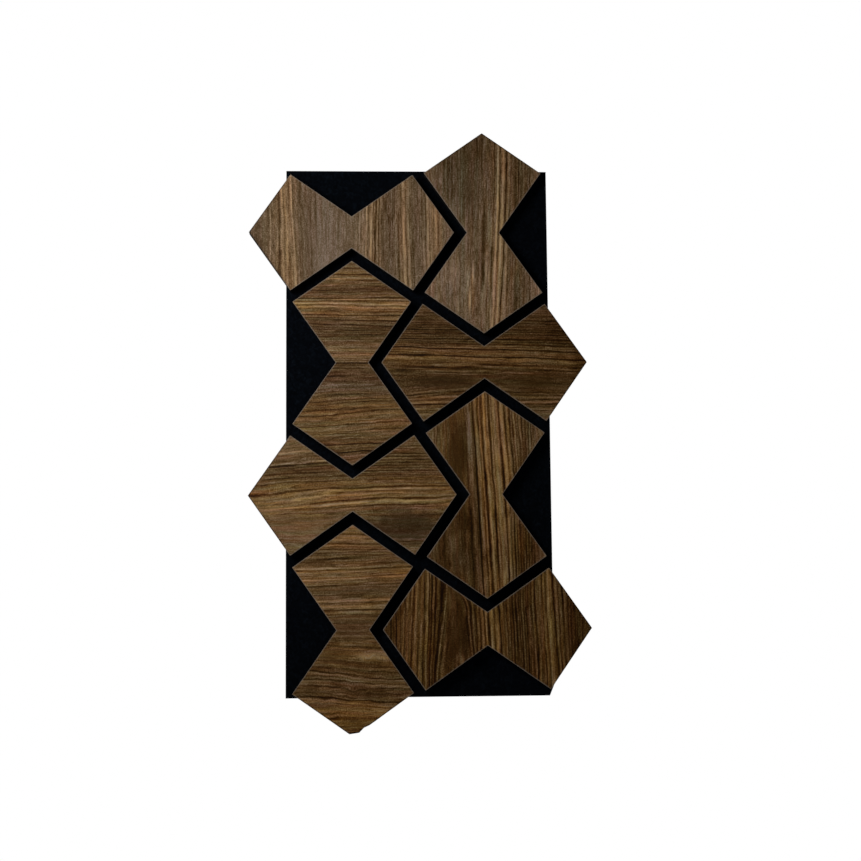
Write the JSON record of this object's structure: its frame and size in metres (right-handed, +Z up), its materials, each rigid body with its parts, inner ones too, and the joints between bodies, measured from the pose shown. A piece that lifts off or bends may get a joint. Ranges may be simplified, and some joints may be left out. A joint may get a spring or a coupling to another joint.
{
  "type": "acoustic wall panel",
  "caption": "Flat sound-absorbing wall panel: bow-tie tiles with walnut faces on a black felt backing, with points and notches along its edges that interlock with the next panel.",
  "frame": {"origin": "middle of the felt's back face, which lies against the wall", "axes": "+Z up along the long side, +Y into the wall, so the walnut faces look along -Y; +X to the right as seen from the front"},
  "size_m": [0.3834, 0.0216, 0.6805],
  "materials": {
    "felt": "matt pressed felt, black with a faint blue cast",
    "black_board": "through-dyed black fibreboard, sanded, matt",
    "walnut_veneer": "striped walnut veneer, brushed, matt lacquer"
  },
  "bodies": {
    "root": {"felt_backing": "felt", "board_row1_left": "black_board", "board_row1_right": "black_board", "board_row2_left": "black_board", "board_row2_right": "black_board", "board_row3_left": "black_board", "board_row3_right": "black_board", "board_row4_left": "black_board", "board_row4_right": "black_board", "veneer_row1_left": "walnut_veneer", "veneer_row1_right": "walnut_veneer", "veneer_row2_left": "walnut_veneer", "veneer_row2_right": "walnut_veneer", "veneer_row3_left": "walnut_veneer", "veneer_row3_right": "walnut_veneer", "veneer_row4_left": "walnut_veneer", "veneer_row4_right": "walnut_veneer"}
  },
  "joints": []
}
